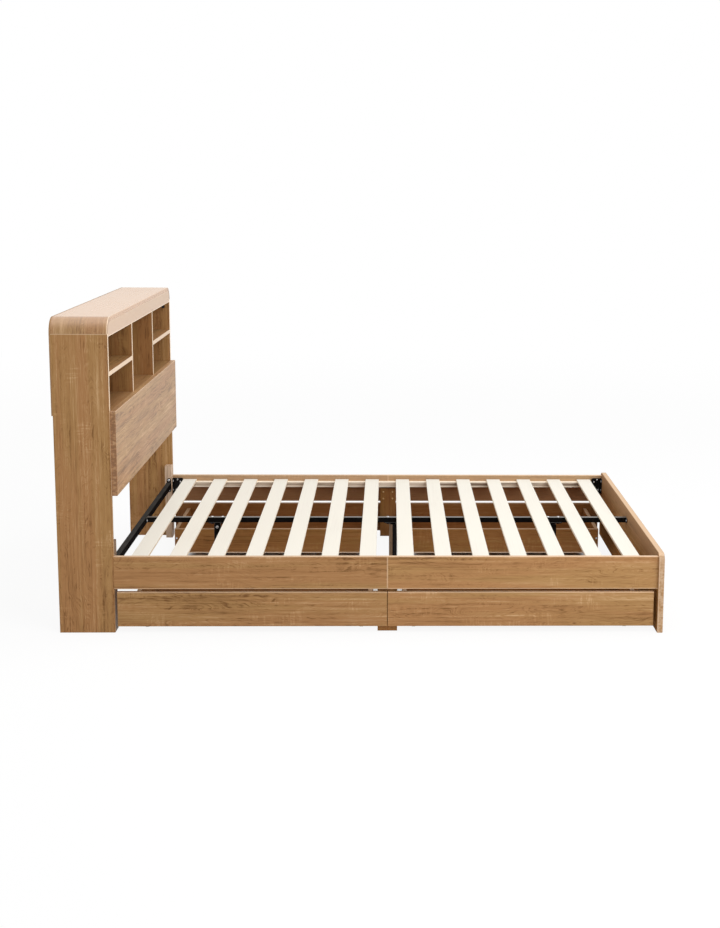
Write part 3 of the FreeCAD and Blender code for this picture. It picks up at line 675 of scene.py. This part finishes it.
# Side rails in two halves, and the short upright behind each joint that stands on
# the floor. The butted ends and the eased arrises show as pale lines.

rail_low, rail_high, joint = 0.159, 0.277, 0.090
butt_reach, arris, top_arris = 0.0022, 0.0035, 0.0015
rail_lines = ((X, joint - butt_reach, joint + butt_reach), (Z, rail_low, rail_low + arris),
              (Z, rail_high - top_arris, rail_high))
# Painted light and shade: a darker brown on faces turned to the bed's middle in the lower part, a
# painted sheen on the far rails except their outer faces, and the foot halves painted a little
# lighter than the head halves.
inward_shade_top, inward_shade_share = 0.235, 0.56
for side, seed, film_or_sheen, inward in (("left", 3.0, None, 1.0),
                                 ("right", 9.0, (0.35, tone(204, 180, 154)), -1.0)):
    for half, shift, light in (("head", 4.1, 1.05), ("foot", 5.7, 1.15)):
        dress("%s_rail_%s_half" % (side, half), oak(
            "oak_%s_%s_rail" % (side, half), X, Z, seed + shift, light=light, band=0.55,
            contrast=1.2, scale=(1.2, 1.2), flame=1.8, painted_sheen=film_or_sheen,
            painted_shade_inward=(inward, inward_shade_top, inward_shade_share), pale_lines=rail_lines))
    dress("%s_leg_board" % side, oak(
        "oak_%s_leg_board" % side, Z, X, seed + 3.3, light=0.95, warmth=0.3))


# Ledgers under the slat ends. Sawn battens with a planed top: the face toward the
# bed's middle is greyer, with knots, between two painted highlights, bright strips along the
# arrises.

ledger_low, ledger_high = 0.228, 0.251
low_highlight, high_highlight = 0.007, 0.004
dress("slat_ledgers", pine(
    "pine_ledgers", X, Z, 71.0, ((134, 114, 96), (212, 194, 174), (236, 222, 204)),
    contrast=2.4, knot=0.9, band=(255, 246, 230),
    lines=((Z, ledger_low, ledger_low + low_highlight), (Z, ledger_high - high_highlight, ledger_high))))


# Four corner brackets at the rails' ends. Folded steel angles under the same black
# coat as the tubes, held by cross-head screws through both leaves.

dress("corner_brackets", black)


# The footboard. A wide board that stands on the floor, proud of the rails, with
# round top corners and a mottled band glued round its edge.

paler_from, palest_from = 0.16, 0.29
inner_arris = (X, 1.0553, 1.058)
# Painted light and shade: the board is painted paler from the rails' height upward, and warmer
# overall, for the light on its upper part and the warm shade lower down.
dress("footboard", oak(
    "oak_footboard", Y, Z, 31.0, light=1.08, band=0.5, contrast=1.3, shine=0.6, gloss=0.0,
    warmth=0.2, painted_sheen=(0.6, tone(192, 158, 126)), sheen_rise=(paler_from, palest_from),
    end_shade=0.6, end_tone=(184, 156, 128), pale_lines=(inner_arris,)))


# Centre beam and its three legs. Square tubes and pressed plates under the black coat.
# The middle leg stands turned, and its face toward the near side carries a painted reflection in
# tan.

leg_stations = (-0.594, 0.111, 0.758)
leg_turns = (0.0, -135.0, 180.0)
askew = math.sqrt(0.5)
dress("centre_beam", black)
dress("leg_brackets", black)
dress("support_legs", powder_coat("black_leg_coat", painted_reflection_face=(leg_stations[1], -askew, -askew)))


# Feet of the legs. Moulded caps pushed into the tubes, with soft corners and a
# shallow groove round the rim.

def moulded(name, dark, pale):
    """Plastic with a fine spark-eroded grain and faint clouds."""
    made, wire = empty_material(name)
    place = wire.node("ShaderNodeTexCoord", output="Object")
    grain = noise(wire, place, detail=2.0, scale=1500.0)
    cloud = noise(wire, place, detail=2.0, scale=40.0)
    return finished(made, wire, mixed(cloud, dark, pale), 0.5 + grain * 0.15, grain, depth=0.0001)


black_plastic = moulded("black_moulded_plastic", tone(18, 18, 19), tone(36, 36, 38))
foot_side, foot_height, plug_side, plug_top = 0.028, 0.006, 0.0218, 0.012
corner_round, sole_round = 0.0034, 0.0007
cap_rim, groove, plug_taper = 0.0008, 0.0008, 0.98
bpy.ops.object.select_all(action="DESELECT")
bpy.ops.mesh.primitive_cube_add(size=1.0, location=(0.0, 0.0, foot_height / 2))
cap = bpy.context.object
cap.name = "leg_cap"
cap.scale = (foot_side, foot_side, foot_height)
bpy.ops.object.transform_apply(location=True, rotation=True, scale=True)
bpy.ops.object.mode_set(mode="EDIT")
bpy.ops.mesh.select_mode(type="EDGE")
bpy.ops.mesh.select_all(action="DESELECT")
shape = bmesh.from_edit_mesh(cap.data)
for upright in shape.edges:
    if abs(upright.verts[0].co.z - upright.verts[1].co.z) > foot_height / 2:
        upright.select_set(True)
bmesh.update_edit_mesh(cap.data)
bpy.ops.mesh.bevel(offset=corner_round, segments=4)
bpy.ops.mesh.select_mode(type="FACE")
face_pick(cap, looks_down)
bpy.ops.mesh.bevel(offset=sole_round, segments=2)
face_pick(cap, looks_up)
bpy.ops.mesh.inset(thickness=cap_rim)
drawn_out(-groove)
bpy.ops.mesh.inset(thickness=(foot_side - plug_side) / 2 - cap_rim)
drawn_out(plug_top - foot_height + groove, plug_taper)
bpy.ops.object.mode_set(mode="OBJECT")
smoothed(cap)
for number, (station, turn) in enumerate(zip(leg_stations, leg_turns), start=1):
    foot = set_on(cap, "leg_cap_%d" % number, (0.0, 0.0, 0.0), (0.0, 0.0, 1.0))
    turned = Matrix.Rotation(math.radians(turn), 4, "Z")
    foot.data.transform(Matrix.Translation((station, 0.0, 0.0)) @ turned)
    foot.data.materials.append(black_plastic)
    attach(foot, "bed_frame")
    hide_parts("leg_feet")
bpy.data.objects.remove(cap)


# Fourteen slats of planed softwood, left raw and nearly white, laid over the
# ledgers and the beam. Their sawn edges are a little warmer.

dress("bed_slats", pine(
    "pine_slats", Y, X, 73.0, ((204, 196, 184), (228, 223, 211), (238, 234, 224)),
    contrast=0.45, band=(240, 222, 196)))


# The frame's bolts and screws. Domed bolts with a hexagon socket through tubes and
# flanges, cross-head screws through brackets and boards, nuts under the beam painted nearly black
# as painted shade.

def domed_bolt(name, radius, height, shank, length, sides):
    """A bolt or screw: a low wall and a dome above Z = 0, its shank below."""
    wall_share, dome_share, crown = 0.28, 0.72, 0.64
    wall = height * wall_share
    bolt = round_blank(name, sides, radius, wall, wall)
    face_pick(bolt, looks_up)
    reach, level = 1.0, wall
    full_arch = math.sqrt(1.0 - crown * crown)
    for step in (0.94, 0.82, crown):
        rise = height * (wall_share + dome_share * math.sqrt(1.0 - step * step) / full_arch)
        drawn_out(rise - level, step / reach)
        reach, level = step, rise
    face_pick(bolt, looks_down)
    bpy.ops.mesh.inset(thickness=radius - shank)
    drawn_out(-length)
    bpy.ops.object.mode_set(mode="OBJECT")
    return bolt


def bored(piece, sides, radius, depth, middle=0.0):
    """Cut a hole about Z, round or with as many sides as asked, and finish the piece."""
    bpy.ops.object.select_all(action="DESELECT")
    bpy.ops.mesh.primitive_cylinder_add(vertices=sides, radius=radius, depth=depth,
                                        location=(0.0, 0.0, middle))
    cut_away(piece, bpy.context.object)
    smoothed(piece)


main = domed_bolt("main_bolt", radius=0.006, height=0.0032, shank=0.00275, length=0.024, sides=28)
bored(main, sides=6, radius=0.0024, depth=0.004, middle=0.0034)
small = domed_bolt("small_screw", radius=0.004, height=0.0022, shank=0.00185, length=0.012,
                   sides=24)
cross_recess(small, arm=0.0019, width=0.0008, top=0.0022, depth=0.0012)
smoothed(small)

tube_back, flange_face, tube_rise, flange_hole = 0.010, 0.646, 0.2405, 0.0215
board_face, board_hole, board_rows = 0.677, 0.0205, (0.173, 0.204)
rail_face, bracket_top, foot_face = 0.692, 0.265, 1.055
bracket_sheet, leaf_middle = 0.0025, 0.00825
rail_holes = ((0.021, 0.008), (0.034, 0.018), (0.015, 0.054))
leaf_holes = (0.014, 0.054)
beam_flange, beam_rise = 0.003, 0.241
ends = ((head_front, 1), (foot_face, -1))
flange_seats, board_seats, rail_seats, leaf_seats = [], [], [], []
for way in (-1, 1):
    inward = (0, -way, 0)
    for rise in (-flange_hole, flange_hole):
        flange_seats.append(((head_front - tube_back, way * flange_face, tube_rise + rise), inward))
    for x in (joint - board_hole, joint + board_hole):
        for z in board_rows:
            board_seats.append(((x, way * board_face, z), inward))
    for corner, toward in ends:
        for reach, drop in rail_holes:
            rail_seats.append(((corner + toward * reach, way * (rail_face - bracket_sheet),
                                bracket_top - drop), inward))
        for drop in leaf_holes:
            leaf_seats.append(((corner + toward * bracket_sheet, way * (rail_face - leaf_middle),
                                bracket_top - drop), (toward, 0, 0)))
beam_seats = [((corner + toward * beam_flange, y, beam_rise), (toward, 0, 0))
              for corner, toward in ends for y in (-flange_hole, flange_hole)]
zinc = plated("bright_zinc")
brass = plated("warm_plate", low=(196, 160, 108), high=(240, 210, 160))
gathered(main, "crossbar_bolts", flange_seats, zinc)
gathered(small, "leg_board_screws", board_seats, brass)
gathered(small, "bracket_rail_screws", rail_seats, zinc)
gathered(small, "bracket_end_screws", leaf_seats, zinc)
gathered(small, "beam_flange_screws", beam_seats, zinc)

beam_under_plate, slat_under = 0.228, 0.251
plate_hole, clamp_rise, half_leg = 0.0205, 0.212, 0.0125
leg_bolt_seats, nut_seats, clamp_seats = [], [], []
for station, turn in zip(leg_stations, leg_turns):
    for offset in (-plate_hole, plate_hole):
        leg_bolt_seats.append(((station + offset, 0.0, slat_under), (0, 0, 1)))
        nut_seats.append(((station + offset, 0.0, beam_under_plate), (0, 0, -1)))
    angle = math.radians(turn)
    outward = Vector((math.sin(angle), -math.cos(angle), 0.0))
    clamp_seats.append((Vector((station, 0.0, clamp_rise)) + outward * half_leg, outward))
gathered(main, "leg_clamp_bolts", clamp_seats, zinc)

shank_reach, longer_shank = 0.02, 0.004
made_active(main)
bpy.ops.object.mode_set(mode="EDIT")
bpy.ops.mesh.select_mode(type="FACE")
face_pick(main, lambda centre, normal: looks_down(centre, normal) and centre.z < -shank_reach)
bpy.ops.transform.translate(value=(0.0, 0.0, -longer_shank))
bpy.ops.object.mode_set(mode="OBJECT")
gathered(main, "beam_bolts", leg_bolt_seats, zinc)

nut_radius, nut_height, nut_chamfer = 0.006, 0.005, 0.0006
nut = round_blank("hexagon_nut", 6, nut_radius, nut_height, nut_height)
face_pick(nut, lambda centre, normal: abs(normal.z) > square_on)
bpy.ops.mesh.bevel(offset=nut_chamfer, segments=2)
bpy.ops.object.mode_set(mode="OBJECT")
bored(nut, sides=28, radius=0.0028, depth=0.02)
# The nuts' zinc is painted nearly black, as painted shade under the beam's plate.
gathered(nut, "beam_nuts", nut_seats, plated("zinc_nut_painted_shade", shade_dark=0.9))
for spent in (main, small, nut):
    bpy.data.objects.remove(spent)


# The four drawers: a film-covered front, sides and back with pale top edges, and
# a thin printed bottom, nailed up from below.

def hardboard(name, seed):
    """Thin board: printed film above and below, bare pale fibre at its edges."""
    made, wire = empty_material(name)
    s, t, edge = board_axes(wire, X, Y)[:3]
    at = stretched(wire, s, t, seed)
    fibre = noise(wire, at(along=6.0, across=240.0, shift=0.0), detail=3.0, roughness=0.6)
    cloud = noise(wire, at(along=3.0, across=3.0, shift=5.0), detail=3.0)
    colour = mixed(fibre * 0.6 + cloud * 0.4, tone(150, 108, 66), tone(196, 156, 112))
    colour = mixed(edge * 0.9, colour, tone(226, 204, 182))
    return finished(made, wire, colour, 0.55 + cloud * 0.1, fibre, depth=0.0001)


front_high, front_inward_shade = 0.148, 0.6
back_line = (Z, 0.123, 0.125)
swirls = {"head": (-0.790, 0.050), "foot": (0.377, 0.070)}
# Painted light and shade: the fronts' faces turned to the bed's middle are a darker brown, the
# boxes' sides and back are painted darker and warmer, and the foot fronts are painted a little
# lighter than the head fronts.
for side, row, inward in (("left", 41.0, 1.0), ("right", 61.0, -1.0)):
    for end, shift, light in (("head", 0.0, 1.03), ("foot", 10.0, 1.11)):
        drawer = "%s_%s_drawer" % (side, end)
        seed = row + shift
        dress(drawer + "_front", oak(
            "oak_%s_front" % drawer, X, Z, seed, light=light, band=0.2, contrast=1.3,
            scale=(1.2, 1.2), flame=1.6, knot=swirls[end],
            painted_shade_inward=(inward, front_high, front_inward_shade),
            pale_lines=((Z, front_high - arris, front_high),)))
        dress(drawer + "_sides", oak(
            "oak_%s_sides" % drawer, Y, Z, seed + 1.1, light=0.92, band=0.4, warmth=0.35))
        dress(drawer + "_back", oak(
            "oak_%s_back" % drawer, X, Z, seed + 2.3, light=0.92, band=0.35, warmth=0.35,
            pale_lines=(back_line,)))
        dress(drawer + "_bottom", hardboard("hardboard_%s_bottom" % drawer, seed + 3.0))
        dress(drawer + "_hardware", zinc)


# The drawers' wheels. Moulded white nylon with a shallow groove round the tread,
# a sunk face on both sides and a bore for the fixed pin.

wheel_radius, wheel_width, wheel_round = 0.009, 0.011, 0.0007
tread_rim, tread_waist = 0.0022, 0.95
tyre, face_sunk, face_taper = 0.0017, 0.0014, 0.96
web, hub_raised, hub_taper = 0.0022, 0.0012, 0.9
flat_face, side_on = 0.97, 0.2
wheel = round_blank("castor_wheel", 40, wheel_radius, wheel_width, wheel_width / 2)
face_pick(wheel, lambda centre, normal: abs(normal.z) > square_on)
bpy.ops.mesh.bevel(offset=wheel_round, segments=2)
face_pick(wheel, lambda centre, normal: abs(normal.z) < side_on)
bpy.ops.mesh.inset(thickness=tread_rim)
bpy.ops.transform.resize(value=(tread_waist, tread_waist, 1.0), center_override=(0.0, 0.0, 0.0))
for face_way in (-1.0, 1.0):
    face_pick(wheel, lambda centre, normal: normal.z * face_way > flat_face)
    bpy.ops.mesh.inset(thickness=tyre)
    drawn_out(-face_sunk * face_way, face_taper)
    bpy.ops.mesh.inset(thickness=web)
    drawn_out(hub_raised * face_way, hub_taper)
bpy.ops.object.mode_set(mode="OBJECT")
bored(wheel, sides=24, radius=0.00215, depth=0.03)

nylon = moulded("white_nylon", tone(214, 214, 210), tone(232, 232, 228))
fronts = {"head": (-0.866, 0.089), "foot": (0.091, 1.042)}
box_overhang, castor_inset = 0.0535, 0.040
drawer_outer, drawer_inner, row_inset = 0.694, 0.305, 0.050
wheel_rows = {"front": drawer_outer - row_inset, "rear": drawer_inner + row_inset}
for side, way in (("left", -1), ("right", 1)):
    for end, (low, high) in fronts.items():
        wheel_x = (low + box_overhang + castor_inset, high - box_overhang - castor_inset)
        for row, reach in wheel_rows.items():
            node = "%s_%s_drawer_%s_wheels" % (side, end, row)
            seats = [((x, way * reach, wheel_radius), (1, 0, 0)) for x in wheel_x]
            gathered(wheel, node + "_moulded", seats, nylon, body=node, stands_for=node)
bpy.data.objects.remove(wheel)
